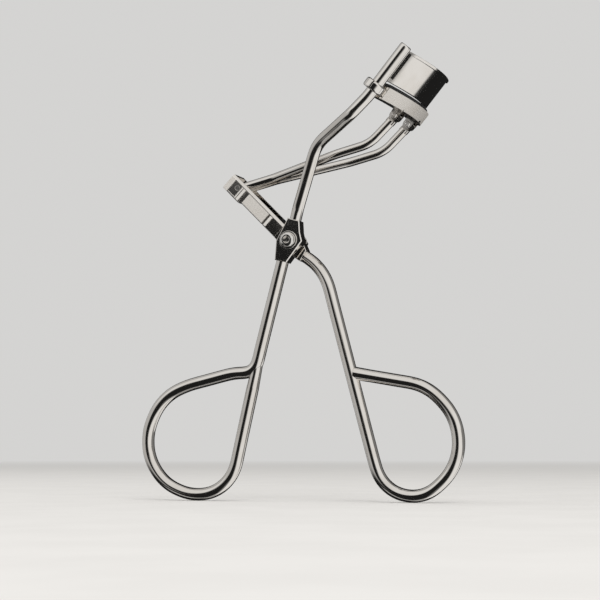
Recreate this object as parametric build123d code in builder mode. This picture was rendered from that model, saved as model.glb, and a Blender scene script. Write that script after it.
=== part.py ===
from build123d import *
import math
import os

# Eyelash curler, millimetres. Row frame: X across the finger loops, Y through the
# thickness (the pivot axis runs along Y, the jaws reach from -Y to +Y), Z up with the
# loops at the bottom. The origin is the centre of the bounding box's base.

# ---------------------------------------------------------------- driving dimensions
HANDLE_D = 2.9            # handle wire diameter
FRAME_D = 2.7             # upright wire that carries the fixed jaw
YOKE_D = 2.1              # push wires between the lever and the moving jaw

MID_Y = -0.93             # plane between the two pivot plates
PLATE_T = 2.9             # thickness of both pivot plates
PLATE_GAP = 0.5           # gap between them, filled by the spacer washer
PIVOT_X, PIVOT_Z = -1.14, 59.75
SCREW_R = 1.1             # pivot screw shank radius
RUN = 0.04                # radial clearance of a running fit

LEVER_LO, LEVER_HI = -2.5, 1.25   # lever's lower and upper edge, across the lever
HEAD_LO = -2.95           # lower edge of the deeper head at the lever's tip
HEAD_A = 17.25            # where the head starts, measured from the pivot
LEVER_D = 5.9             # lever depth along Y
LEVER_END = 22.9          # lever tip, measured from the pivot
LEVER_ROOT = 4.6          # where the channel meets the rear pivot plate
LEVER_WALL = 0.7
HINGE_A, HINGE_B = 20.1, -0.6   # yoke hinge, along and across the lever
HINGE_R = 0.6             # yoke hinge pin radius
BARREL_R = 1.3            # yoke hinge barrel outer radius

RAIL_ANGLE = 49.5         # the upright's top run above horizontal, in the XZ plane
RAIL_X, RAIL_Z = 23.93, 90.75   # guide collar position on the upright at rest
RAIL_Y = -14.93           # the upright's Y where it carries the jaw
RAIL_TIP = 11.24          # upright tip above the guide collar, along the rail

JAW_Y = 1.82              # middle of the jaws
JAW_TC = -33.3            # centre of the jaws' curve, across the rail
JAW_R = 38.0              # outer radius of the moving jaw
JAW_W = 3.6               # width of the moving jaw's channel
JAW_H = 3.05              # its height
JAW_TILT = 16.3           # the jaws' edges rise toward the middle by this slope
JAW_WALL = 0.6
JAW_NEAR, JAW_FAR = -14.2, 15.2
PAD_RISE = 0.85           # silicone pad above the channel's rim
JAW_GAP = 0.45            # pad to upper jaw at rest
PLATE_R = 36.65           # outer radius of the fixed jaw plate
PLATE_WALL = 0.9
PLATE_H = 8.0
PLATE_FAR = 12.0
LUG_T, LUG_S = 3.1, -2.6  # yoke pin position, across and along the rail
LUG_PIN_R = 0.55
EYE_R, EYE_HOLE_R, EYE_T = 1.15, 0.75, 1.5
YOKE_SPREAD = 4.9         # half the distance between the push wires at the jaw
YOKE_MID_Y = 2.27
YOKE_NARROW = 1.1         # half their distance at the lever

# ---------------------------------------------------------------- directions and planes
ca, sa = math.cos(math.radians(RAIL_ANGLE)), math.sin(math.radians(RAIL_ANGLE))
U = Vector(ca, 0, sa)     # along the rail, upward
V = Vector(sa, 0, -ca)    # across the rail, away from the eyelid side
A = Vector(-0.7051, 0, 0.7091)   # along the lever, from the pivot to its tip
B = Vector(0.7091, 0, 0.7051)    # across the lever, toward the open side
EY = Vector(0, 1, 0)
TAN = math.tan(math.radians(JAW_TILT))

FRONT_0 = MID_Y - PLATE_GAP / 2 - PLATE_T      # outer face of the front plate
FRONT_1 = MID_Y - PLATE_GAP / 2
REAR_0 = MID_Y + PLATE_GAP / 2
REAR_1 = REAR_0 + PLATE_T
LEFT_Y = (FRONT_0 + FRONT_1) / 2               # left handle and upright root
RIGHT_Y = (REAR_0 + REAR_1) / 2                # right handle
LEVER_0, LEVER_1 = REAR_0, REAR_0 + LEVER_D


def head_plane(s=0.0, y=JAW_Y):
    """Plane across the rail: local x is V, local y is +Y, its normal is U."""
    return Plane(origin=Vector(RAIL_X, y, RAIL_Z) + U * s, x_dir=V, z_dir=U)


def side_plane(y):
    """XZ plane at a given Y with its normal toward -Y: local x is X, local y is Z."""
    return Plane(origin=(0, y, 0), x_dir=(1, 0, 0), z_dir=(0, -1, 0))


def lever_plane(y):
    """Plane of the lever's side at a given Y: local x is A, local y is B, normal +Y."""
    return Plane(origin=(PIVOT_X, y, PIVOT_Z), x_dir=A, z_dir=EY)


def rail_point(s, t, y):
    return Vector(RAIL_X, y, RAIL_Z) + U * s + V * t


def tilt_plane(s_ref):
    """The sloped plane that the jaws' edges lie in; s_ref is its height at t = 1.8."""
    n = (U - V * TAN).normalized()
    return Plane(origin=rail_point(s_ref, 1.8, JAW_Y), x_dir=EY, z_dir=n)


def band(r_in, r_out, y0, y1, s0, s1):
    """Curved strip between two radii, two ends and two tilted planes."""
    with BuildPart() as strip:
        with BuildSketch(head_plane(s0 - 6)):
            with Locations((JAW_TC, 0)):
                Circle(r_out)
                Circle(r_in, mode=Mode.SUBTRACT)
            with Locations((JAW_TC + r_out, (y0 + y1) / 2)):
                Rectangle(2 * 14.0, y1 - y0, mode=Mode.INTERSECT)
        extrude(amount=s1 - s0 + 14)
        split(bisect_by=tilt_plane(s0), keep=Keep.TOP)
        split(bisect_by=tilt_plane(s1), keep=Keep.BOTTOM)
    return strip.part


def save(part, name):
    part.label = name
    export_step(part, f"parts/{name}.step")
    print(name, "volume", round(part.volume, 2), "solids", len(part.solids()))


os.makedirs("parts", exist_ok=True)

# ---------------------------------------------------------------- left handle and frame
# Left handle: a straight shank from the front plate, one bend, the finger loop, and the
# end strand in line with the shank.
LEFT_TOP = Vector(-3.10, LEFT_Y, 54.95)
LEFT_PATH = [LEFT_TOP, (-9.96, LEFT_Y, 29.49), (-15.09, LEFT_Y, 29.51),
             (-26.71, LEFT_Y, 26.90), (-34.07, LEFT_Y, 24.18), (-37.50, LEFT_Y, 16.46),
             (-37.56, LEFT_Y, 10.03), (-33.01, LEFT_Y, 3.79), (-26.59, LEFT_Y, 1.35),
             (-16.16, LEFT_Y, 1.80), (-10.54, LEFT_Y, 25.90)]
LEFT_RADII = [3.3, 20.0, 14.2, 12.4, 11.4, 11.2, 11.6, 12.0, 9.6]
with BuildPart() as left_handle:
    with BuildLine() as left_line:
        FilletPolyline(*LEFT_PATH, radius=LEFT_RADII)
    with BuildSketch(Plane(origin=left_line.line @ 0, z_dir=left_line.line % 0)):
        Circle(HANDLE_D / 2)
    sweep()

# Braze bead that joins the loop's end strand to the bend and runs out along the shank.
left_end = left_line.line @ 1
left_dir = (left_line.line % 1).normalized()
with BuildPart() as left_loop_weld:
    with BuildSketch(Plane(origin=left_end, z_dir=left_dir)):
        Circle(HANDLE_D / 2)
    with BuildSketch(Plane(origin=left_end + left_dir * 5.8, z_dir=left_dir)):
        Circle(1.18)
    loft()
    add(left_handle.part, mode=Mode.SUBTRACT)

# Upright wire: leaves the front plate's top, bows outward to the near side, and ends in
# the straight rail that the guide collar slides on.
FRAME_TOP = Vector(0.15, LEFT_Y, 64.55)
FRAME_PATH = [FRAME_TOP, (0.95, -2.95, 67.2), (8.2, -9.9, 80.1),
              rail_point(-7.7, -0.69, RAIL_Y), rail_point(-2.4, 0, RAIL_Y),
              rail_point(RAIL_TIP, 0, RAIL_Y)]
FRAME_RADII = [5.0, 10.0, 3.6, 18.0]
with BuildPart() as frame_wire:
    with BuildLine() as frame_line:
        FilletPolyline(*FRAME_PATH, radius=FRAME_RADII)
    with BuildSketch(Plane(origin=frame_line.line @ 0, z_dir=frame_line.line % 0)):
        Circle(FRAME_D / 2)
    sweep()
    tip = frame_wire.faces().sort_by(Axis((0, 0, 0), (U.X, 0, U.Z)))[-1]
    fillet(tip.edges(), 0.3)

# Front pivot plate: an elongated hexagon with bevelled edges; both wires butt onto it.
d_left = (Vector(*LEFT_PATH[1]) - LEFT_TOP).normalized()
d_top = (Vector(*FRAME_PATH[1]) - FRAME_TOP).normalized()
n_left = Vector(-d_left.Z, 0, d_left.X)      # across the left wire
n_top = Vector(d_top.Z, 0, -d_top.X).normalized()
bl = LEFT_TOP - n_left * 1.5
br = LEFT_TOP + n_left * 1.5
if bl.X > br.X:
    bl, br = br, bl
tl = FRAME_TOP - n_top * 1.48
tr = FRAME_TOP + n_top * 1.48
PLATE_PTS = [(bl.X, bl.Z), (br.X, br.Z), (2.22, 59.35), (1.72, 61.4), (tr.X, tr.Z),
             (tl.X, tl.Z), (-4.2, 59.8)]
with BuildPart() as front_pivot_plate:
    with BuildSketch(side_plane(FRONT_1)):
        Polygon(*PLATE_PTS, align=None)
    extrude(amount=PLATE_T)
    front_face = front_pivot_plate.faces().filter_by(Axis.Y).sort_by(Axis.Y)[0]
    chamfer(front_face.edges(), 0.2)
    rear_face = front_pivot_plate.faces().filter_by(Axis.Y).sort_by(Axis.Y)[-1]
    chamfer(rear_face.edges(), 0.15)
    with BuildSketch(side_plane(FRONT_1 + 1)):
        with Locations((PIVOT_X, PIVOT_Z)):
            Circle(SCREW_R)
    extrude(amount=PLATE_T + 2, mode=Mode.SUBTRACT)
    add(left_handle.part, mode=Mode.SUBTRACT)
    add(frame_wire.part, mode=Mode.SUBTRACT)

# ---------------------------------------------------------------- pivot hardware
HEAD_R, HEAD_H = 1.8, 0.95
WASHER_T = 0.25
HEAD_Y = FRONT_0 - WASHER_T
REAR_WASHER_0 = REAR_1 + 0.10
REAR_WASHER_1 = REAR_WASHER_0 + 0.35
NUT_1 = REAR_WASHER_1 + 1.3
pivot_profile = Plane(origin=(PIVOT_X, 0, PIVOT_Z), x_dir=(1, 0, 0), z_dir=(0, 0, 1))
# The screw: domed head with a dished centre, and a shank to the nut's outer face.
with BuildPart() as pivot_screw:
    with BuildSketch(pivot_profile):
        with BuildLine():
            Polyline((0, HEAD_Y - 0.42), (0.55, HEAD_Y - 0.42), (0.85, HEAD_Y - HEAD_H),
                     (1.15, HEAD_Y - HEAD_H))
            ThreePointArc((1.15, HEAD_Y - HEAD_H), (1.62, HEAD_Y - 0.66), (HEAD_R, HEAD_Y - 0.12))
            Polyline((HEAD_R, HEAD_Y - 0.12), (HEAD_R, HEAD_Y), (SCREW_R, HEAD_Y),
                     (SCREW_R, NUT_1 + 0.15), (SCREW_R - 0.2, NUT_1 + 0.35),
                     (0, NUT_1 + 0.35), (0, HEAD_Y - 0.42))
        make_face()
    revolve(axis=Axis((PIVOT_X, 0, PIVOT_Z), (0, 1, 0)), revolution_arc=360)


def ring(r_in, r_out, y0, y1, soften=0.0):
    """Washer around the pivot axis from y0 to y1."""
    with BuildPart() as washer:
        with BuildSketch(side_plane(y1)):
            with Locations((PIVOT_X, PIVOT_Z)):
                Circle(r_out)
                Circle(r_in, mode=Mode.SUBTRACT)
        extrude(amount=y1 - y0)
        if soften:
            rims = washer.edges().filter_by(GeomType.CIRCLE).filter_by(
                lambda e: abs(e.radius - r_out) < 1e-6)
            fillet(rims, soften)
    return washer.part


front_washer = ring(SCREW_R, 2.15, HEAD_Y, FRONT_0, 0.08)
spacer_washer = ring(SCREW_R, 2.3, FRONT_1, REAR_0 - 0.08)
rear_washer = ring(SCREW_R, 2.1, REAR_WASHER_0, REAR_WASHER_1, 0.08)
with BuildPart() as pivot_nut:
    with BuildSketch(side_plane(NUT_1)):
        with Locations((PIVOT_X, PIVOT_Z)):
            RegularPolygon(1.95, 6)
            Circle(SCREW_R, mode=Mode.SUBTRACT)
    extrude(amount=NUT_1 - REAR_WASHER_1)
    outer = pivot_nut.faces().filter_by(Axis.Y).sort_by(Axis.Y)[-1]
    chamfer(outer.outer_wire().edges(), 0.22)

# ---------------------------------------------------------------- lever and right handle
RIGHT_TOP = Vector(1.15, RIGHT_Y, 56.40)
RIGHT_PATH = [RIGHT_TOP, (5.87, RIGHT_Y, 53.46), (17.56, RIGHT_Y, 10.15),
              (20.03, RIGHT_Y, 1.75), (29.97, RIGHT_Y, 1.31), (38.37, RIGHT_Y, 8.74),
              (36.72, RIGHT_Y, 19.29), (30.44, RIGHT_Y, 25.91), (16.80, RIGHT_Y, 28.38)]
RIGHT_RADII = [13.2, 40.0, 8.7, 8.3, 11.8, 12.4, 12.7]
with BuildPart() as right_handle:
    with BuildLine() as right_line:
        FilletPolyline(*RIGHT_PATH, radius=RIGHT_RADII)
    with BuildSketch(Plane(origin=right_line.line @ 0, z_dir=right_line.line % 0)):
        Circle(HANDLE_D / 2)
    sweep()

right_end = right_line.line @ 1
right_dir = (right_line.line % 1).normalized()
with BuildPart() as right_loop_weld:
    with BuildSketch(Plane(origin=right_end, z_dir=right_dir)):
        Circle(HANDLE_D / 2)
    with BuildSketch(Plane(origin=right_end + right_dir * 3.6, z_dir=right_dir)):
        Circle(HANDLE_D / 2 + 0.06)
    loft()
    add(right_handle.part, mode=Mode.SUBTRACT)

# Rear pivot plate: one end meets the right handle, the other closes the lever channel.
d_right = (Vector(*RIGHT_PATH[1]) - RIGHT_TOP).normalized()
n_right = Vector(-d_right.Z, 0, d_right.X)
pivot_pt = Vector(PIVOT_X, RIGHT_Y, PIVOT_Z)
end_a = RIGHT_TOP + n_right * 1.45 - pivot_pt
end_b = RIGHT_TOP - n_right * 1.45 - pivot_pt
ends = sorted([(end_a.dot(A), end_a.dot(B)), (end_b.dot(A), end_b.dot(B))],
              key=lambda p: p[1])
REAR_PTS = [ends[0], ends[1], (-1.6, 1.45), (1.5, 1.6), (3.4, LEVER_HI),
            (LEVER_ROOT, LEVER_HI), (LEVER_ROOT, LEVER_LO), (1.0, LEVER_LO - 0.25), (-2.2, -2.55)]
with BuildPart() as rear_pivot_plate:
    with BuildSketch(lever_plane(REAR_0)):
        Polygon(*REAR_PTS, align=None)
    extrude(amount=PLATE_T)
    faces_y = rear_pivot_plate.faces().filter_by(Axis.Y).sort_by(Axis.Y)
    chamfer(faces_y[0].edges(), 0.1)
    faces_y = rear_pivot_plate.faces().filter_by(Axis.Y).sort_by(Axis.Y)
    chamfer(faces_y[-1].edges(), 0.2)
    with BuildSketch(lever_plane(REAR_0 - 1)):
        Circle(SCREW_R + RUN)
    extrude(amount=PLATE_T + 2, mode=Mode.SUBTRACT)
    add(right_handle.part, mode=Mode.SUBTRACT)

# Lever channel: open toward +B, with a broad bevel along each upper edge, a deeper head at
# the tip with a pocket, cross ribs, and a raised flat panel on both side faces.
def lever_section(a0):
    """Plane across the lever at a distance from the pivot: local x is B, local y is +Y."""
    return Plane(origin=Vector(PIVOT_X, 0, PIVOT_Z) + A * a0, x_dir=B, z_dir=A)


def lever_outline(lo):
    """The lever's outer section: small bevels below, broad ones above."""
    return [(lo + 0.1, LEVER_0), (LEVER_HI - 0.62, LEVER_0), (LEVER_HI, LEVER_0 + 0.45),
            (LEVER_HI, LEVER_1 - 0.45), (LEVER_HI - 0.62, LEVER_1), (lo + 0.1, LEVER_1),
            (lo, LEVER_1 - 0.1), (lo, LEVER_0 + 0.1)]


FACE_TOP = 0.42           # upper end of the features on the side faces
with BuildPart() as lever_channel:
    with BuildSketch(lever_section(LEVER_ROOT)):
        Polygon(*lever_outline(LEVER_LO), align=None)
    extrude(amount=LEVER_END - LEVER_ROOT)
    with BuildSketch(lever_section(HEAD_A)):
        Polygon(*lever_outline(HEAD_LO), align=None)
    extrude(amount=LEVER_END - HEAD_A)
    # trough for the push wires, deeper in the head
    for a0, a1, lo in ((7.6, LEVER_END - 0.8, LEVER_LO), (HEAD_A + 0.65, LEVER_END - 0.8, HEAD_LO)):
        with BuildSketch(lever_plane(LEVER_0 + LEVER_WALL)):
            with Locations(((a0 + a1) / 2, lo + LEVER_WALL + 4)):
                Rectangle(a1 - a0, 8)
        extrude(amount=LEVER_D - 2 * LEVER_WALL, mode=Mode.SUBTRACT)
    # pocket, groove and slit on the two side faces
    for y0 in (LEVER_0 - 0.5, LEVER_1 - 0.3):
        with BuildSketch(lever_plane(y0)):
            with Locations(((19.1 + 21.5) / 2, (HEAD_LO + 0.33 + FACE_TOP) / 2)):
                Rectangle(21.5 - 19.1, FACE_TOP - HEAD_LO - 0.33)
            with Locations(((16.52 + 17.45) / 2, (HEAD_LO - 0.5 + FACE_TOP) / 2)):
                Rectangle(17.45 - 16.52, FACE_TOP - HEAD_LO + 0.5)
            with Locations(((8.86 + 9.15) / 2, (HEAD_LO - 0.5 + FACE_TOP) / 2)):
                Rectangle(9.15 - 8.86, FACE_TOP - HEAD_LO + 0.5)
        extrude(amount=0.8, mode=Mode.SUBTRACT)
    # raised flat panel and ribs
    for y0 in (LEVER_0 - 0.18, LEVER_1):
        with BuildSketch(lever_plane(y0)):
            with Locations(((9.27 + 16.4) / 2, (LEVER_LO + 0.23 + FACE_TOP) / 2)):
                Rectangle(16.4 - 9.27, FACE_TOP - LEVER_LO - 0.23)
        extrude(amount=0.18)
    # each rib is a wedge across the side face, steep toward the pivot
    for a0, a1, high, low, lo in ((7.9, 8.72, 0.28, 0.05, LEVER_LO + 0.25),
                                  (17.6, 18.45, 0.28, 0.05, HEAD_LO + 0.25),
                                  (18.6, 18.95, 0.12, 0.03, HEAD_LO + 0.25)):
        for y0, out in ((LEVER_0, 1), (LEVER_1, -1)):
            # local x is A, local y is -Y
            with BuildSketch(Plane(origin=Vector(PIVOT_X, 0, PIVOT_Z) + B * lo, x_dir=A, z_dir=B)):
                Polygon((a0, -y0 - out * 0.2), (a0, -y0 + out * high), (a1, -y0 + out * low),
                        (a1, -y0 - out * 0.2), align=None)
            extrude(amount=FACE_TOP - lo)
    # the ribs stay solid only on the walls
    for a0, a1, lo in ((7.6, LEVER_END - 0.8, LEVER_LO), (HEAD_A + 0.65, LEVER_END - 0.8, HEAD_LO)):
        with BuildSketch(lever_plane(LEVER_0 + LEVER_WALL)):
            with Locations(((a0 + a1) / 2, lo + LEVER_WALL + 4)):
                Rectangle(a1 - a0, 8)
        extrude(amount=LEVER_D - 2 * LEVER_WALL, mode=Mode.SUBTRACT)
    with BuildSketch(lever_plane(LEVER_0 - 1)):
        with Locations((HINGE_A, HINGE_B)):
            Circle(HINGE_R)
    extrude(amount=LEVER_D + 2, mode=Mode.SUBTRACT)

# Hinge pin across the channel, its ends 0.03 mm below the pocket floors.
hinge_pt = Vector(PIVOT_X, 0, PIVOT_Z) + A * HINGE_A + B * HINGE_B
with BuildPart() as yoke_hinge_pin:
    with BuildSketch(Plane(origin=(hinge_pt.X, LEVER_0 + 0.33, hinge_pt.Z), x_dir=A, z_dir=EY)):
        Circle(HINGE_R)
    extrude(amount=LEVER_D - 0.66)
    fillet(yoke_hinge_pin.edges().filter_by(GeomType.CIRCLE), 0.06)

# ---------------------------------------------------------------- yoke
BARREL_L = LEVER_D - 2 * LEVER_WALL - 0.2
barrel_y0 = (LEVER_0 + LEVER_1) / 2 - BARREL_L / 2
with BuildPart() as yoke_barrel:
    with BuildSketch(Plane(origin=(hinge_pt.X, barrel_y0, hinge_pt.Z), x_dir=A, z_dir=EY)):
        Circle(BARREL_R)
        Circle(HINGE_R + RUN, mode=Mode.SUBTRACT)
    extrude(amount=BARREL_L)
with BuildPart() as barrel_tool:
    with BuildSketch(Plane(origin=(hinge_pt.X, barrel_y0 - 1, hinge_pt.Z), x_dir=A, z_dir=EY)):
        Circle(BARREL_R)
    extrude(amount=BARREL_L + 2)

lug_pt = rail_point(LUG_S, LUG_T, 0)
# The push wires share one outline in the XZ plane: a straight run, one bend, and a run
# up to the jaw's pin.
run_dir = Vector(math.cos(math.radians(12.2)), 0, math.sin(math.radians(12.2)))
up_dir = Vector(math.cos(math.radians(43.0)), 0, math.sin(math.radians(43.0)))
det = run_dir.X * up_dir.Z - run_dir.Z * up_dir.X
gap = lug_pt - hinge_pt
k_run = (gap.X * up_dir.Z - gap.Z * up_dir.X) / det
knee = hinge_pt + run_dir * k_run


def push_wire(side):
    """One push wire; side is -1 for the near wire and +1 for the far one."""
    y_a = YOKE_MID_Y + side * YOKE_NARROW
    y_b = YOKE_MID_Y + side * YOKE_SPREAD
    p0 = Vector(hinge_pt.X, y_a, hinge_pt.Z)
    p1 = Vector(0, y_a, 0) + hinge_pt + run_dir * 8.9
    p2 = Vector(0, y_b, 0) + hinge_pt + run_dir * 26.6
    p3 = Vector(0, y_b, 0) + knee
    p4 = Vector(0, y_b, 0) + lug_pt
    p4 = p4 - up_dir * (EYE_R - 0.15)
    with BuildPart() as wire:
        with BuildLine() as line:
            FilletPolyline(p0, p1, p2, p3, p4, radius=[12.0, 12.0, 8.5])
        with BuildSketch(Plane(origin=line.line @ 0, z_dir=line.line % 0)):
            Circle(YOKE_D / 2)
        sweep()
        # the wire's end is pressed flat into an eye
        with BuildSketch(side_plane(y_b + 3)):
            with Locations((lug_pt.X, lug_pt.Z)):
                Circle(EYE_R + 0.25)
        extrude(amount=6, mode=Mode.SUBTRACT)
        with BuildSketch(side_plane(y_b + EYE_T / 2)):
            with Locations((lug_pt.X, lug_pt.Z)):
                Circle(EYE_R)
            nx, nz = -up_dir.Z, up_dir.X
            q = lug_pt - up_dir * (EYE_R + 0.9)
            Polygon((lug_pt.X + nx * EYE_R * 0.8, lug_pt.Z + nz * EYE_R * 0.8),
                    (q.X + nx * 0.95, q.Z + nz * 0.95),
                    (q.X - nx * 0.95, q.Z - nz * 0.95),
                    (lug_pt.X - nx * EYE_R * 0.8, lug_pt.Z - nz * EYE_R * 0.8), align=None)
        extrude(amount=EYE_T)
        with BuildSketch(side_plane(y_b + 3)):
            with Locations((lug_pt.X, lug_pt.Z)):
                Circle(EYE_HOLE_R)
        extrude(amount=6, mode=Mode.SUBTRACT)
        add(barrel_tool.part, mode=Mode.SUBTRACT)
    return wire.part


yoke_near_wire = push_wire(-1)
yoke_far_wire = push_wire(1)

# ---------------------------------------------------------------- moving jaw
S_LOW = -1.3
jaw_block = band(JAW_R - JAW_W, JAW_R, JAW_NEAR, JAW_FAR, S_LOW, S_LOW + JAW_H)
pad_block = band(JAW_R - JAW_W + JAW_WALL, JAW_R - JAW_WALL, JAW_NEAR + JAW_WALL,
                 JAW_FAR - JAW_WALL, S_LOW + 0.9, S_LOW + JAW_H + PAD_RISE)
with BuildPart() as lower_jaw:
    add(jaw_block)
    n_t = tilt_plane(0).z_dir
    fillet(lower_jaw.edges().filter_by(Axis((0, 0, 0), (U.X, 0, U.Z))), 0.3)
    add(pad_block, mode=Mode.SUBTRACT)

with BuildPart() as silicone_pad:
    add(pad_block)
    up_face = silicone_pad.faces().sort_by(Axis((0, 0, 0), (U.X, 0, U.Z)))[-1]
    fillet(up_face.edges(), 0.4)

# Guide collar: a flat ring round the upright with an elongated slot, open by a narrow
# seam on its outer side.
COLLAR_H = 2.1
SLOT_T0, SLOT_T1 = -1.98, 1.45       # slot reach across the rail
SLOT_R = FRAME_D / 2 + 0.10
with BuildPart() as guide_collar:
    with BuildSketch(head_plane(-COLLAR_H / 2, RAIL_Y)):
        with Locations(((SLOT_T0 + SLOT_T1) / 2, 0)):
            SlotOverall(SLOT_T1 - SLOT_T0 + 1.3, 2 * (SLOT_R + 0.65))
    extrude(amount=COLLAR_H)
    fillet(guide_collar.edges().filter_by(
        lambda e: abs((e.center() - Vector(RAIL_X, RAIL_Y, RAIL_Z)).dot(U)) > COLLAR_H / 2 - 0.01), 0.45)
    with BuildSketch(head_plane(-COLLAR_H, RAIL_Y)):
        with Locations(((SLOT_T0 + SLOT_T1) / 2, 0)):
            SlotOverall(SLOT_T1 - SLOT_T0, 2 * SLOT_R)
        with Locations((-0.2, -SLOT_R - 0.4)):
            Rectangle(0.28, 1.6)
    extrude(amount=2 * COLLAR_H, mode=Mode.SUBTRACT)
# Short tab between the collar and the end of the jaw.
with BuildPart() as collar_tab:
    with BuildSketch(head_plane(-0.85, RAIL_Y)):
        with Locations((0.0, 2.3)):
            Rectangle(1.7, 2.2)
    extrude(amount=1.5)
    add(jaw_block, mode=Mode.SUBTRACT)
    add(guide_collar.part, mode=Mode.SUBTRACT)
    with BuildSketch(head_plane(-2, RAIL_Y)):
        with Locations(((SLOT_T0 + SLOT_T1) / 2, 0)):
            SlotOverall(SLOT_T1 - SLOT_T0 + 0.02, 2 * SLOT_R + 0.02)
    extrude(amount=4, mode=Mode.SUBTRACT)


def lug(y):
    """Clevis under the jaw: two ears with a slot between them for the wire's eye."""
    with BuildPart() as clevis:
        with BuildSketch(Plane(origin=rail_point(0, 0, y - 1.45), x_dir=V, z_dir=EY)):
            # local x is V, local y is EY x V = -U
            with Locations((LUG_T, -LUG_S)):
                Circle(1.05)
            Polygon((LUG_T - 1.05, -LUG_S), (LUG_T + 1.05, -LUG_S), (LUG_T + 1.2, 0.2),
                    (LUG_T - 1.2, 0.2), align=None)
        extrude(amount=2.9)
        with BuildSketch(Plane(origin=rail_point(0, 0, y - EYE_T / 2 - 0.12), x_dir=V, z_dir=EY)):
            with Locations((LUG_T, -LUG_S + 1.35)):
                Rectangle(5, 6.2)
        extrude(amount=EYE_T + 0.24, mode=Mode.SUBTRACT)
        with BuildSketch(Plane(origin=rail_point(0, 0, y - 3), x_dir=V, z_dir=EY)):
            with Locations((LUG_T, -LUG_S)):
                Circle(LUG_PIN_R)
        extrude(amount=6, mode=Mode.SUBTRACT)
        add(jaw_block, mode=Mode.SUBTRACT)
    return clevis.part


def lug_pin(y):
    """Rivet through one clevis, with a dished head on each side."""
    with BuildPart() as rivet:
        with BuildSketch(Plane(origin=(lug_pt.X, 0, lug_pt.Z), x_dir=(1, 0, 0), z_dir=(0, 0, 1))):
            Polygon((0, y - 1.64), (0.25, y - 1.64), (0.35, y - 1.75), (0.6, y - 1.75),
                    (0.76, y - 1.6), (0.76, y - 1.45), (LUG_PIN_R, y - 1.45), (LUG_PIN_R, y + 1.45),
                    (0.76, y + 1.45), (0.76, y + 1.6), (0.6, y + 1.75), (0, y + 1.75), align=None)
        revolve(axis=Axis((lug_pt.X, 0, lug_pt.Z), (0, 1, 0)), revolution_arc=360)
    return rivet.part


near_lug = lug(YOKE_MID_Y - YOKE_SPREAD)
far_lug = lug(YOKE_MID_Y + YOKE_SPREAD)
near_lug_pin = lug_pin(YOKE_MID_Y - YOKE_SPREAD)
far_lug_pin = lug_pin(YOKE_MID_Y + YOKE_SPREAD)

# ---------------------------------------------------------------- fixed jaw
S_PLATE = S_LOW + JAW_H + PAD_RISE + JAW_GAP
jaw_plate = band(PLATE_R - PLATE_WALL, PLATE_R, -14.9, PLATE_FAR, S_PLATE, S_PLATE + PLATE_H)
rim = band(PLATE_R - 0.4, PLATE_R + 0.32, -14.5, PLATE_FAR, S_PLATE + PLATE_H - 0.6,
           S_PLATE + PLATE_H)
with BuildPart() as upper_jaw:
    add(jaw_plate)
    add(rim)
    add(frame_wire.part, mode=Mode.SUBTRACT)

# Braze fillet along the joint of the plate and the upright.
with BuildPart() as upper_jaw_braze:
    with BuildSketch(head_plane(S_PLATE + 0.5, RAIL_Y)):
        Polygon((-1.2, 0.3), (-1.6, 2.9), (1.15, 2.9), (1.2, 0.3), align=None)
    extrude(amount=PLATE_H - 1.2)
    add(frame_wire.part, mode=Mode.SUBTRACT)
    add(upper_jaw.part, mode=Mode.SUBTRACT)

for piece, name in (
    (left_handle.part, "left_handle"), (left_loop_weld.part, "left_loop_weld"),
    (frame_wire.part, "frame_wire"), (front_pivot_plate.part, "front_pivot_plate"),
    (pivot_screw.part, "pivot_screw"), (front_washer, "front_washer"),
    (spacer_washer, "spacer_washer"), (rear_washer, "rear_washer"),
    (pivot_nut.part, "pivot_nut"), (right_handle.part, "right_handle"),
    (right_loop_weld.part, "right_loop_weld"), (rear_pivot_plate.part, "rear_pivot_plate"),
    (lever_channel.part, "lever_channel"), (yoke_hinge_pin.part, "yoke_hinge_pin"),
    (yoke_barrel.part, "yoke_barrel"), (yoke_near_wire, "yoke_near_wire"),
    (yoke_far_wire, "yoke_far_wire"), (lower_jaw.part, "lower_jaw"),
    (silicone_pad.part, "silicone_pad"), (guide_collar.part, "guide_collar"),
    (collar_tab.part, "collar_tab"), (near_lug, "near_lug"), (far_lug, "far_lug"),
    (near_lug_pin, "near_lug_pin"), (far_lug_pin, "far_lug_pin"),
    (upper_jaw.part, "upper_jaw"), (upper_jaw_braze.part, "upper_jaw_braze"),
):
    save(piece, name)
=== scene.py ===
import math

import bmesh
import bpy
import numpy as np
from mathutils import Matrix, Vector


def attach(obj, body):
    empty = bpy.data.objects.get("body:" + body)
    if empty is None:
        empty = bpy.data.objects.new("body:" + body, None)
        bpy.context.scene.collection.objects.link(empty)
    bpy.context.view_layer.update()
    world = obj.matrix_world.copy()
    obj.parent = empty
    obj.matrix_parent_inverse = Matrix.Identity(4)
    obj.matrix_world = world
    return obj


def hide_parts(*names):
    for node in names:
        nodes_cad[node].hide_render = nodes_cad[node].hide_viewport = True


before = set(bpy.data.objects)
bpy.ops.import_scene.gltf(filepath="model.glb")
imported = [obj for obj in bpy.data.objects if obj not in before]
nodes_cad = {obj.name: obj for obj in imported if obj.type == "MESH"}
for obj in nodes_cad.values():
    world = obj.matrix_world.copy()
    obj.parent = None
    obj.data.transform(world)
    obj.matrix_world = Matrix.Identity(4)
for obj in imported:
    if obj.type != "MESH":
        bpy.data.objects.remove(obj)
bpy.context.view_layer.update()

MM = 0.001
scene = bpy.context.scene

# Directions shared with the CAD source, in the XZ plane.
RAIL = math.radians(49.5)
U = Vector((math.cos(RAIL), 0, math.sin(RAIL)))
V = Vector((math.sin(RAIL), 0, -math.cos(RAIL)))
A = Vector((-0.7051, 0, 0.7091))
B = Vector((0.7091, 0, 0.7051))
LEFT_Y, RIGHT_Y, RAIL_Y = -2.63, 0.77, -14.93
RAIL_O = Vector((23.93, 0, 90.75))
PIVOT = Vector((-1.14, 0, 59.75))
HANDLE_D, FRAME_D = 2.9, 2.7


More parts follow.
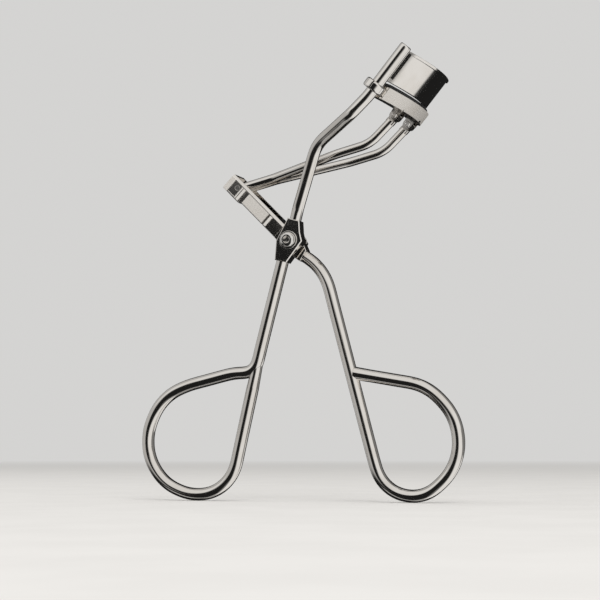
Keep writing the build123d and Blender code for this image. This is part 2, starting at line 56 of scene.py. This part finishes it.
def rail_point(s, t, y):
    p = RAIL_O + U * s + V * t
    return Vector((p.x, y, p.z))


# ---------------------------------------------------------------- node helpers
def new_mat(name):
    m = bpy.data.materials.new(name)
    m.use_nodes = True
    nt = m.node_tree
    nt.nodes.clear()
    out = nt.nodes.new("ShaderNodeOutputMaterial")
    b = nt.nodes.new("ShaderNodeBsdfPrincipled")
    nt.links.new(b.outputs[0], out.inputs[0])
    return m, nt, b


def math_node(nt, op, a, b=None, c=None, clamp=False):
    n = nt.nodes.new("ShaderNodeMath")
    n.operation = op
    n.use_clamp = clamp
    for i, v in enumerate((a, b, c)):
        if v is None:
            continue
        if isinstance(v, (int, float)):
            n.inputs[i].default_value = v
        else:
            nt.links.new(v, n.inputs[i])
    return n.outputs[0]


def position_mm(nt, stretch=(1, 1, 1)):
    """Place in the row frame in millimetres, stretched for streaks."""
    tc = nt.nodes.new("ShaderNodeTexCoord")
    m = nt.nodes.new("ShaderNodeMapping")
    m.inputs["Scale"].default_value = [1000 * s for s in stretch]
    nt.links.new(tc.outputs["Object"], m.inputs["Vector"])
    return m.outputs[0]


def noise(nt, vec, scale, detail=3.0, rough=0.55):
    n = nt.nodes.new("ShaderNodeTexNoise")
    n.inputs["Scale"].default_value = scale
    n.inputs["Detail"].default_value = detail
    n.inputs["Roughness"].default_value = rough
    nt.links.new(vec, n.inputs["Vector"])
    return n.outputs[0]


def ramp(nt, value, lo, hi, a=0.0, b=1.0, smooth=True):
    n = nt.nodes.new("ShaderNodeMapRange")
    n.interpolation_type = "SMOOTHSTEP" if smooth else "LINEAR"
    n.inputs["From Min"].default_value = lo
    n.inputs["From Max"].default_value = hi
    n.inputs["To Min"].default_value = a
    n.inputs["To Max"].default_value = b
    nt.links.new(value, n.inputs["Value"])
    return n.outputs[0]


def mix_color(nt, fac, c0, c1):
    n = nt.nodes.new("ShaderNodeMix")
    n.data_type = "RGBA"
    nt.links.new(fac, n.inputs[0])
    for i, c in ((6, c0), (7, c1)):
        if isinstance(c, (tuple, list)):
            n.inputs[i].default_value = (*c, 1)
        else:
            nt.links.new(c, n.inputs[i])
    return n.outputs[2]


def bump(nt, height, distance_mm, strength=1.0, normal=None):
    n = nt.nodes.new("ShaderNodeBump")
    n.inputs["Distance"].default_value = distance_mm * MM
    n.inputs["Strength"].default_value = strength
    nt.links.new(height, n.inputs["Height"])
    if normal is not None:
        nt.links.new(normal, n.inputs["Normal"])
    return n.outputs[0]


def edge_round(nt, radius_mm):
    n = nt.nodes.new("ShaderNodeBevel")
    n.samples = 6
    n.inputs["Radius"].default_value = radius_mm * MM
    return n.outputs[0]


def nickel(name, base=(0.80, 0.77, 0.73), dull=(0.70, 0.655, 0.60), rough=(0.045, 0.11),
           wave=0.0035, edge=0.10, satin_mask=None, satin_rough=0.40, cut_depth=0.5):
    """Plated wire and plate: a bright polish with a slight hand-polished waver, hairline
    scratches in two directions, faint handling haze and tiny pits."""
    m, nt, b = new_mat(name)
    b.inputs["Metallic"].default_value = 1.0
    p = position_mm(nt)
    haze = ramp(nt, noise(nt, p, 0.16, 4.0, 0.6), 0.42, 0.68)
    fine = noise(nt, p, 2.6, 4.0, 0.6)
    hair1 = noise(nt, position_mm(nt, (7.0, 7.0, 0.35)), 1.0, 2.0, 0.5)
    hair2 = noise(nt, position_mm(nt, (0.5, 6.0, 6.0)), 1.0, 2.0, 0.5)
    scratch1 = ramp(nt, hair1, 0.64, 0.74)
    scratch2 = ramp(nt, hair2, 0.66, 0.76)
    scratch = math_node(nt, "MAXIMUM", scratch1, scratch2)
    pits = ramp(nt, noise(nt, p, 5.5, 1.0, 0.4), 0.24, 0.17)
    # colour
    tint = math_node(nt, "MULTIPLY", haze, 0.45)
    tint = math_node(nt, "MULTIPLY_ADD", pits, 0.5, tint, clamp=True)
    nt.links.new(mix_color(nt, tint, base, dull), b.inputs["Base Color"])
    # roughness
    r = ramp(nt, fine, 0.3, 0.7, rough[0], rough[1], smooth=False)
    r = math_node(nt, "MULTIPLY_ADD", haze, 0.045, r)
    r = math_node(nt, "MULTIPLY_ADD", scratch, 0.07, r)
    r = math_node(nt, "MULTIPLY_ADD", pits, 0.12, r)
    if satin_mask is not None:
        mask, grain = satin_mask(nt)
        sat = ramp(nt, grain, 0.25, 0.75, satin_rough - 0.04, satin_rough + 0.04, smooth=False)
        n = nt.nodes.new("ShaderNodeMix")
        nt.links.new(mask, n.inputs[0])
        nt.links.new(r, n.inputs[2])
        nt.links.new(sat, n.inputs[3])
        r = n.outputs[0]
        nt.links.new(math_node(nt, "MULTIPLY_ADD", mask, -0.6, 1.0), b.inputs["Metallic"])
    nt.links.new(r, b.inputs["Roughness"])
    # relief
    normal = edge_round(nt, edge) if edge else None
    waver = bump(nt, noise(nt, p, 0.42, 2.0, 0.45), wave, 1.0, normal)
    cut = math_node(nt, "MULTIPLY_ADD", scratch, -0.6, math_node(nt, "MULTIPLY", pits, -1.0))
    nt.links.new(bump(nt, cut, 0.0008, cut_depth, waver), b.inputs["Normal"])
    return m


def satin_lever(nt):
    """Where the lever is brushed: the raised panel and the tip, on both side faces."""
    tc = nt.nodes.new("ShaderNodeTexCoord")
    sep = nt.nodes.new("ShaderNodeSeparateXYZ")
    nt.links.new(tc.outputs["Object"], sep.inputs[0])
    x = math_node(nt, "MULTIPLY_ADD", sep.outputs[0], 1000.0, -PIVOT.x)
    z = math_node(nt, "MULTIPLY_ADD", sep.outputs[2], 1000.0, -PIVOT.z)
    y = math_node(nt, "MULTIPLY", sep.outputs[1], 1000.0)
    a = math_node(nt, "ADD", math_node(nt, "MULTIPLY", x, A.x), math_node(nt, "MULTIPLY", z, A.z))
    bb = math_node(nt, "ADD", math_node(nt, "MULTIPLY", x, B.x), math_node(nt, "MULTIPLY", z, B.z))

    def between(v, lo, hi, soft=0.06):
        return math_node(nt, "MULTIPLY", ramp(nt, v, lo - soft, lo + soft),
                         ramp(nt, v, hi - soft, hi + soft, 1.0, 0.0))

    outer = math_node(nt, "ABSOLUTE", math_node(nt, "ADD", y, -2.27))
    raised = ramp(nt, outer, 3.02, 3.08)
    panel = math_node(nt, "MULTIPLY", raised, between(a, 9.2, 16.46))
    side = ramp(nt, outer, 2.8, 2.88)
    tip = math_node(nt, "MULTIPLY", side, ramp(nt, a, 21.5, 21.6))
    mask = math_node(nt, "MAXIMUM", panel, tip)
    comb = nt.nodes.new("ShaderNodeCombineXYZ")
    nt.links.new(math_node(nt, "MULTIPLY", a, 0.5), comb.inputs[0])
    nt.links.new(math_node(nt, "MULTIPLY", bb, 14.0), comb.inputs[1])
    nt.links.new(y, comb.inputs[2])
    return mask, noise(nt, comb.outputs[0], 1.0, 2.0, 0.5)


def satin_jaw(nt):
    """The moving jaw is brushed on its outer curved band only."""
    tc = nt.nodes.new("ShaderNodeTexCoord")
    sep = nt.nodes.new("ShaderNodeSeparateXYZ")
    nt.links.new(tc.outputs["Object"], sep.inputs[0])
    x = math_node(nt, "MULTIPLY_ADD", sep.outputs[0], 1000.0, -RAIL_O.x)
    z = math_node(nt, "MULTIPLY_ADD", sep.outputs[2], 1000.0, -RAIL_O.z)
    y = math_node(nt, "MULTIPLY_ADD", sep.outputs[1], 1000.0, -1.82)
    t = math_node(nt, "ADD", math_node(nt, "MULTIPLY", x, V.x), math_node(nt, "MULTIPLY", z, V.z))
    t = math_node(nt, "ADD", t, 33.3)
    r = math_node(nt, "SQRT", math_node(nt, "ADD", math_node(nt, "MULTIPLY", t, t),
                                        math_node(nt, "MULTIPLY", y, y)))
    u = math_node(nt, "ADD", math_node(nt, "MULTIPLY", x, U.x), math_node(nt, "MULTIPLY", z, U.z))
    comb = nt.nodes.new("ShaderNodeCombineXYZ")
    nt.links.new(math_node(nt, "MULTIPLY", y, 0.5), comb.inputs[0])
    nt.links.new(math_node(nt, "MULTIPLY", u, 14.0), comb.inputs[1])
    nt.links.new(math_node(nt, "MULTIPLY", t, 0.5), comb.inputs[2])
    return ramp(nt, r, 37.86, 37.95), noise(nt, comb.outputs[0], 1.0, 2.0, 0.5)


def silicone(name):
    """Smooth moulded rubber with a faint bloom, fine skin texture and dust."""
    m, nt, b = new_mat(name)
    p = position_mm(nt)
    bloom = ramp(nt, noise(nt, p, 0.35, 3.0, 0.6), 0.4, 0.7)
    dust = ramp(nt, noise(nt, p, 7.0, 1.0, 0.4), 0.70, 0.76)
    f = math_node(nt, "MULTIPLY_ADD", dust, 0.7, math_node(nt, "MULTIPLY", bloom, 0.35), clamp=True)
    nt.links.new(mix_color(nt, f, (0.010, 0.010, 0.011), (0.040, 0.039, 0.040)), b.inputs["Base Color"])
    nt.links.new(ramp(nt, noise(nt, p, 3.0, 4.0, 0.6), 0.3, 0.7, 0.38, 0.56, smooth=False),
                 b.inputs["Roughness"])
    nt.links.new(bump(nt, noise(nt, p, 9.0, 3.0, 0.6), 0.004, 0.5, edge_round(nt, 0.15)),
                 b.inputs["Normal"])
    return m


MAT_WIRE = nickel("wire_polish", edge=0)
MAT_PLATE = nickel("plate_polish", rough=(0.04, 0.095), wave=0.002, edge=0.07, cut_depth=0.12)
MAT_JAW = nickel("jaw_polish", rough=(0.035, 0.075), wave=0.003, edge=0.10)
MAT_LEVER = nickel("lever_polish", rough=(0.05, 0.10), wave=0.002, edge=0.09,
                   satin_mask=satin_lever, satin_rough=0.46, cut_depth=0.2)
MAT_HARD = nickel("turned_polish", base=(0.76, 0.74, 0.71), dull=(0.62, 0.585, 0.54),
                  rough=(0.07, 0.15), wave=0.001, edge=0.06)
MAT_MOVING = nickel("moving_jaw_polish", rough=(0.035, 0.075), wave=0.003, edge=0.10,
                    satin_mask=satin_jaw, satin_rough=0.44)
MAT_LUG = nickel("lug_polish", base=(0.77, 0.745, 0.71), dull=(0.64, 0.605, 0.56),
                 rough=(0.06, 0.13), wave=0.001, edge=0.03)
MAT_BRAZE = nickel("braze_polish", base=(0.77, 0.74, 0.695), dull=(0.66, 0.61, 0.55),
                   rough=(0.09, 0.18), wave=0.012, edge=0.16)
MAT_PAD = silicone("silicone_black")

LOOK = {
    "left_handle": MAT_WIRE, "right_handle": MAT_WIRE, "frame_wire": MAT_WIRE,
    "yoke_near_wire": MAT_WIRE, "yoke_far_wire": MAT_WIRE,
    "left_loop_weld": MAT_WIRE, "right_loop_weld": MAT_WIRE, "upper_jaw_braze": MAT_BRAZE,
    "collar_tab": MAT_BRAZE,
    "front_pivot_plate": MAT_PLATE, "rear_pivot_plate": MAT_PLATE,
    "lever_channel": MAT_LEVER, "upper_jaw": MAT_JAW, "lower_jaw": MAT_MOVING,
    "guide_collar": MAT_JAW, "near_lug": MAT_LUG, "far_lug": MAT_LUG,
    "pivot_screw": MAT_HARD, "front_washer": MAT_HARD, "spacer_washer": MAT_HARD,
    "rear_washer": MAT_HARD, "pivot_nut": MAT_HARD, "yoke_hinge_pin": MAT_HARD,
    "yoke_barrel": MAT_HARD, "near_lug_pin": MAT_HARD, "far_lug_pin": MAT_HARD,
    "silicone_pad": MAT_PAD,
}
for node, obj in nodes_cad.items():
    obj.data.materials.clear()
    obj.data.materials.append(LOOK[node])


# ---------------------------------------------------------------- wires as smooth tubes
def fillet_line(points, radii, step=0.25):
    """Straight runs joined by tangent arcs, sampled closely, in millimetres."""
    pts = [Vector(p) for p in points]
    out = [pts[0].copy()]

    def run_to(q):
        p = out[-1]
        n = max(1, int((q - p).length / step))
        out.extend(p.lerp(q, i / n) for i in range(1, n + 1))

    for i in range(1, len(pts) - 1):
        p, r = pts[i], radii[i - 1]
        d0, d1 = (p - pts[i - 1]).normalized(), (pts[i + 1] - p).normalized()
        turn = d0.angle(d1)
        if turn < 1e-4:
            continue
        cut = r * math.tan(turn / 2)
        a = p - d0 * cut
        n_in = (d1 - d0 * d0.dot(d1)).normalized()
        c = a + n_in * r
        run_to(a)
        k = max(2, int(r * turn / step))
        for j in range(1, k + 1):
            t = turn * j / k
            out.append(c - n_in * r * math.cos(t) + d0 * r * math.sin(t))
    run_to(pts[-1])
    return np.array([tuple(q) for q in out])


def even(line, step):
    seg = np.linalg.norm(np.diff(line, axis=0), axis=1)
    keep = np.r_[True, seg > 1e-6]
    line = line[keep]
    s = np.r_[0, np.cumsum(np.linalg.norm(np.diff(line, axis=0), axis=1))]
    n = max(2, int(round(s[-1] / step)))
    t = np.linspace(0, s[-1], n + 1)
    return np.stack([np.interp(t, s, line[:, k]) for k in range(3)], 1)


def soften(line, sigma, step):
    """Eases the curvature where runs meet arcs, as bent wire has it, without pulling the
    line in: a blur and its correction."""
    half = int(3 * sigma / step)
    x = np.arange(-half, half + 1)
    k = np.exp(-0.5 * (x * step / sigma) ** 2)
    k /= k.sum()

    def blur(v):
        pad = np.vstack([2 * v[0] - v[half:0:-1], v, 2 * v[-1] - v[-2:-half - 2:-1]])
        return np.stack([np.convolve(pad[:, i], k, mode="valid") for i in range(3)], 1)

    once = blur(line)
    return once + blur(line - once)


def tube(name, line, radius, body, replaces, ring=40, ends=(0.0, 0.25)):
    """Closed tube round a line in millimetres; ends are the rounding radii of its rims."""
    t = np.gradient(line, axis=0)
    t /= np.linalg.norm(t, axis=1)[:, None]
    u = np.cross(t[0], (0.31, 0.77, 0.55))
    u /= np.linalg.norm(u)
    rows, prev = [], u
    for i in range(len(line)):
        prev = prev - t[i] * prev.dot(t[i])
        prev /= np.linalg.norm(prev)
        rows.append((line[i], t[i], prev.copy(), np.cross(t[i], prev)))

    def capped(row, out_dir, rim):
        c, tt, uu, vv = row
        if rim <= 0:
            return [(c, radius)]
        got = []
        for j in range(6):
            a = math.pi / 2 * j / 5
            got.append((c - tt * out_dir * rim * (1 - math.sin(a)), radius - rim * (1 - math.cos(a))))
        return got

    rings = []
    first = capped(rows[0], -1, ends[0])
    last = capped(rows[-1], 1, ends[1])
    for c, r in reversed(first[1:]):
        rings.append((c, rows[0][2], rows[0][3], r))
    inner0 = ends[0] if ends[0] > 0 else 0
    inner1 = ends[1] if ends[1] > 0 else 0
    total = len(rows)
    for i, (c, tt, uu, vv) in enumerate(rows):
        if np.linalg.norm(c - rows[0][0]) < inner0 or np.linalg.norm(c - rows[-1][0]) < inner1:
            if 0 < i < total - 1 or (i == 0 and inner0) or (i == total - 1 and inner1):
                continue
        rings.append((c, uu, vv, radius))
    for c, r in last[1:] if len(last) > 1 else []:
        rings.append((c, rows[-1][2], rows[-1][3], r))
    ang = [2 * math.pi * k / ring for k in range(ring)]
    bm = bmesh.new()
    loops = []
    for c, uu, vv, r in rings:
        loops.append([bm.verts.new(Vector(c + (uu * math.cos(a) + vv * math.sin(a)) * r) * MM)
                      for a in ang])
    for l0, l1 in zip(loops, loops[1:]):
        for k in range(ring):
            bm.faces.new((l0[k], l0[(k + 1) % ring], l1[(k + 1) % ring], l1[k])).smooth = True
    bm.faces.new(loops[0][::-1])
    bm.faces.new(loops[-1])
    bmesh.ops.recalc_face_normals(bm, faces=bm.faces)
    me = bpy.data.meshes.new(name)
    bm.to_mesh(me)
    bm.free()
    me.materials.append(MAT_WIRE)
    me.set_sharp_from_angle(angle=math.radians(50))
    o = bpy.data.objects.new(name, me)
    scene.collection.objects.link(o)
    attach(o, body)
    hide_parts(replaces)
    return o


STEP = 0.4
left_line = soften(even(fillet_line(
    [(-3.10, LEFT_Y, 54.95), (-9.96, LEFT_Y, 29.49), (-15.09, LEFT_Y, 29.51),
     (-26.71, LEFT_Y, 26.90), (-34.07, LEFT_Y, 24.18), (-37.50, LEFT_Y, 16.46),
     (-37.56, LEFT_Y, 10.03), (-33.01, LEFT_Y, 3.79), (-26.59, LEFT_Y, 1.35),
     (-16.16, LEFT_Y, 1.80), (-10.54, LEFT_Y, 25.90)],
    [3.3, 20.0, 14.2, 12.4, 11.4, 11.2, 11.6, 12.0, 9.6]), STEP), 1.3, STEP)
right_line = soften(even(fillet_line(
    [(1.15, RIGHT_Y, 56.40), (5.87, RIGHT_Y, 53.46), (17.56, RIGHT_Y, 10.15),
     (20.03, RIGHT_Y, 1.75), (29.97, RIGHT_Y, 1.31), (38.37, RIGHT_Y, 8.74),
     (36.72, RIGHT_Y, 19.29), (30.44, RIGHT_Y, 25.91), (16.80, RIGHT_Y, 28.38)],
    [13.2, 40.0, 8.7, 8.3, 11.8, 12.4, 12.7]), STEP), 1.3, STEP)
frame_line = soften(even(fillet_line(
    [(0.15, LEFT_Y, 64.55), (0.95, -2.95, 67.2), (8.2, -9.9, 80.1),
     tuple(rail_point(-7.7, -0.69, RAIL_Y)), tuple(rail_point(-2.4, 0, RAIL_Y)),
     tuple(rail_point(11.24, 0, RAIL_Y))],
    [5.0, 10.0, 3.6, 18.0]), STEP), 0.8, STEP)

tube("left_handle_wire", left_line, HANDLE_D / 2, "frame", "left_handle",
     ends=(0.0, 0.0))
tube("right_handle_wire", right_line, HANDLE_D / 2, "lever", "right_handle",
     ends=(0.0, 0.0))
tube("upright_wire", frame_line, FRAME_D / 2, "frame", "frame_wire",
     ends=(0.0, 0.35))

# ---------------------------------------------------------------- studio
scene.view_settings.view_transform = "Standard"
scene.view_settings.look = "None"

floor_me = bpy.data.meshes.new("floor")
bm = bmesh.new()
bmesh.ops.create_circle(bm, cap_ends=True, segments=96, radius=3.0)
bm.to_mesh(floor_me)
bm.free()
floor = bpy.data.objects.new("floor", floor_me)
floor.location.z = -0.00002
scene.collection.objects.link(floor)
floor.visible_glossy = False
fm = bpy.data.materials.new("pale_floor")
fm.use_nodes = True
nt = fm.node_tree
nt.nodes.clear()
out = nt.nodes.new("ShaderNodeOutputMaterial")
dif = nt.nodes.new("ShaderNodeBsdfDiffuse")
tra = nt.nodes.new("ShaderNodeBsdfTransparent")
mix = nt.nodes.new("ShaderNodeMixShader")
tc = nt.nodes.new("ShaderNodeTexCoord")
ln = nt.nodes.new("ShaderNodeVectorMath")
ln.operation = "LENGTH"
nt.links.new(tc.outputs["Object"], ln.inputs[0])
nt.links.new(ramp(nt, ln.outputs["Value"], 0.45, 2.2), mix.inputs[0])
p = position_mm(nt)
g = ramp(nt, noise(nt, p, 0.05, 3.0, 0.5), 0.3, 0.7)
nt.links.new(mix_color(nt, g, (0.775, 0.765, 0.75), (0.80, 0.79, 0.775)), dif.inputs[0])
nt.links.new(dif.outputs[0], mix.inputs[1])
nt.links.new(tra.outputs[0], mix.inputs[2])
nt.links.new(mix.outputs[0], out.inputs[0])
floor_me.materials.append(fm)

# World: a pale even studio to the eye. What the polished metal reflects is a set of soft
# boxes with dark gaps between them: one overhead that comes down in front, a tall one on
# the right that widens as it drops, a dimmer one on the left, and a low one behind.
world = bpy.data.worlds.new("studio")
scene.world = world
world.use_nodes = True
nt = world.node_tree
nt.nodes.clear()
wout = nt.nodes.new("ShaderNodeOutputWorld")
tc = nt.nodes.new("ShaderNodeTexCoord")
sep = nt.nodes.new("ShaderNodeSeparateXYZ")
nt.links.new(tc.outputs["Generated"], sep.inputs[0])
az = math_node(nt, "ARCTAN2", sep.outputs[0], math_node(nt, "MULTIPLY", sep.outputs[1], -1.0))
az = math_node(nt, "MULTIPLY", az, 180 / math.pi)
el = math_node(nt, "MULTIPLY", math_node(nt, "ARCSINE", sep.outputs[2]), 180 / math.pi)
around = math_node(nt, "FLOORED_MODULO", az, 360.0)      # 0 to 360, for what lies behind
drop = math_node(nt, "MAXIMUM", math_node(nt, "MULTIPLY", el, -1.0), 0.0)
az_in = math_node(nt, "SUBTRACT", az,
                  math_node(nt, "MINIMUM", math_node(nt, "MULTIPLY", drop, 0.45), 16.0))
az_out = math_node(nt, "SUBTRACT", az,
                   math_node(nt, "MINIMUM", math_node(nt, "MULTIPLY", drop, 0.9), 46.0))


def times(*v):
    out = v[0]
    for w in v[1:]:
        out = math_node(nt, "MULTIPLY", out, w)
    return out


def most(*v):
    out = v[0]
    for w in v[1:]:
        out = math_node(nt, "MAXIMUM", out, w)
    return out


overhead = times(ramp(nt, el, 9, 19), ramp(nt, az, -82, -60), ramp(nt, az, 82, 104, 1.0, 0.0), 0.80)
right_bank = times(ramp(nt, az_in, 8, 28), ramp(nt, az_out, 72, 94, 1.0, 0.0),
                   ramp(nt, el, 40, 60, 1.0, 0.45), 0.86)
right_tail = times(ramp(nt, az, 60, 90), ramp(nt, az, 138, 160, 1.0, 0.0), 0.20)
left_bank = times(ramp(nt, az, -136, -120), ramp(nt, az, -38, -28, 1.0, 0.0),
                  ramp(nt, el, -22, -6), 0.50)
left_low = times(ramp(nt, az, -74, -64), ramp(nt, az, -56, -48, 1.0, 0.0),
                 ramp(nt, el, -36, -26, 1.0, 0.0), 0.50)
low_front = times(ramp(nt, az, 6, 20), ramp(nt, az, 60, 90, 1.0, 0.0),
                  ramp(nt, el, -42, -32, 1.0, 0.0), 0.17)
low_back = times(ramp(nt, around, 117, 125), ramp(nt, around, 152, 155, 1.0, 0.0),
                 ramp(nt, el, -16, -10, 1.0, 0.0), 0.86)
top = ramp(nt, el, 60, 80, 0.0, 0.60)
nadir = ramp(nt, el, -80, -68, 0.36, 0.0)
sides = most(overhead, right_bank, right_tail, left_bank, left_low, low_front, low_back, nadir)
glow = math_node(nt, "ADD", math_node(nt, "MAXIMUM", sides, top), 0.014)
bg_gloss = nt.nodes.new("ShaderNodeBackground")
warm = nt.nodes.new("ShaderNodeCombineColor")
nt.links.new(glow, warm.inputs[0])
nt.links.new(math_node(nt, "MULTIPLY", glow, 0.995), warm.inputs[1])
nt.links.new(math_node(nt, "MULTIPLY", glow, 0.985), warm.inputs[2])
nt.links.new(warm.outputs[0], bg_gloss.inputs[0])
bg_soft = nt.nodes.new("ShaderNodeBackground")
bg_soft.inputs[0].default_value = (0.66, 0.655, 0.645, 1)
lp = nt.nodes.new("ShaderNodeLightPath")
wmix = nt.nodes.new("ShaderNodeMixShader")
nt.links.new(lp.outputs["Is Glossy Ray"], wmix.inputs[0])
nt.links.new(bg_soft.outputs[0], wmix.inputs[1])
nt.links.new(bg_gloss.outputs[0], wmix.inputs[2])
nt.links.new(wmix.outputs[0], wout.inputs[0])
world.cycles.sampling_method = "NONE"


def area(name, loc, size, power, look=(0, 0, 0.045)):
    d = bpy.data.lights.new(name, "AREA")
    d.shape = "DISK"
    d.size = size
    d.energy = power
    d.color = (1.0, 0.985, 0.965)
    o = bpy.data.objects.new(name, d)
    o.location = loc
    o.rotation_euler = (Vector(look) - Vector(loc)).to_track_quat("-Z", "Y").to_euler()
    o.visible_glossy = False
    o.visible_camera = False
    scene.collection.objects.link(o)
    return o


area("key", (0.30, -0.42, 0.62), 0.55, 2.2)
area("fill", (-0.55, -0.10, 0.50), 0.60, 0.9)

# ---------------------------------------------------------------- camera
cam_d = bpy.data.cameras.new("camera")
cam_d.sensor_fit = "HORIZONTAL"
cam_d.sensor_width = 36.0
cam_d.lens = 87.72
cam_d.clip_start, cam_d.clip_end = 0.01, 20.0
cam = bpy.data.objects.new("camera", cam_d)
scene.collection.objects.link(cam)
cam.location = Vector((126.234, -312.022, 10.833)) * MM
cam.rotation_mode = "QUATERNION"
cam.rotation_quaternion = Vector((-0.372554, 0.922105, 0.104528)).to_track_quat("-Z", "Y")
scene.camera = cam
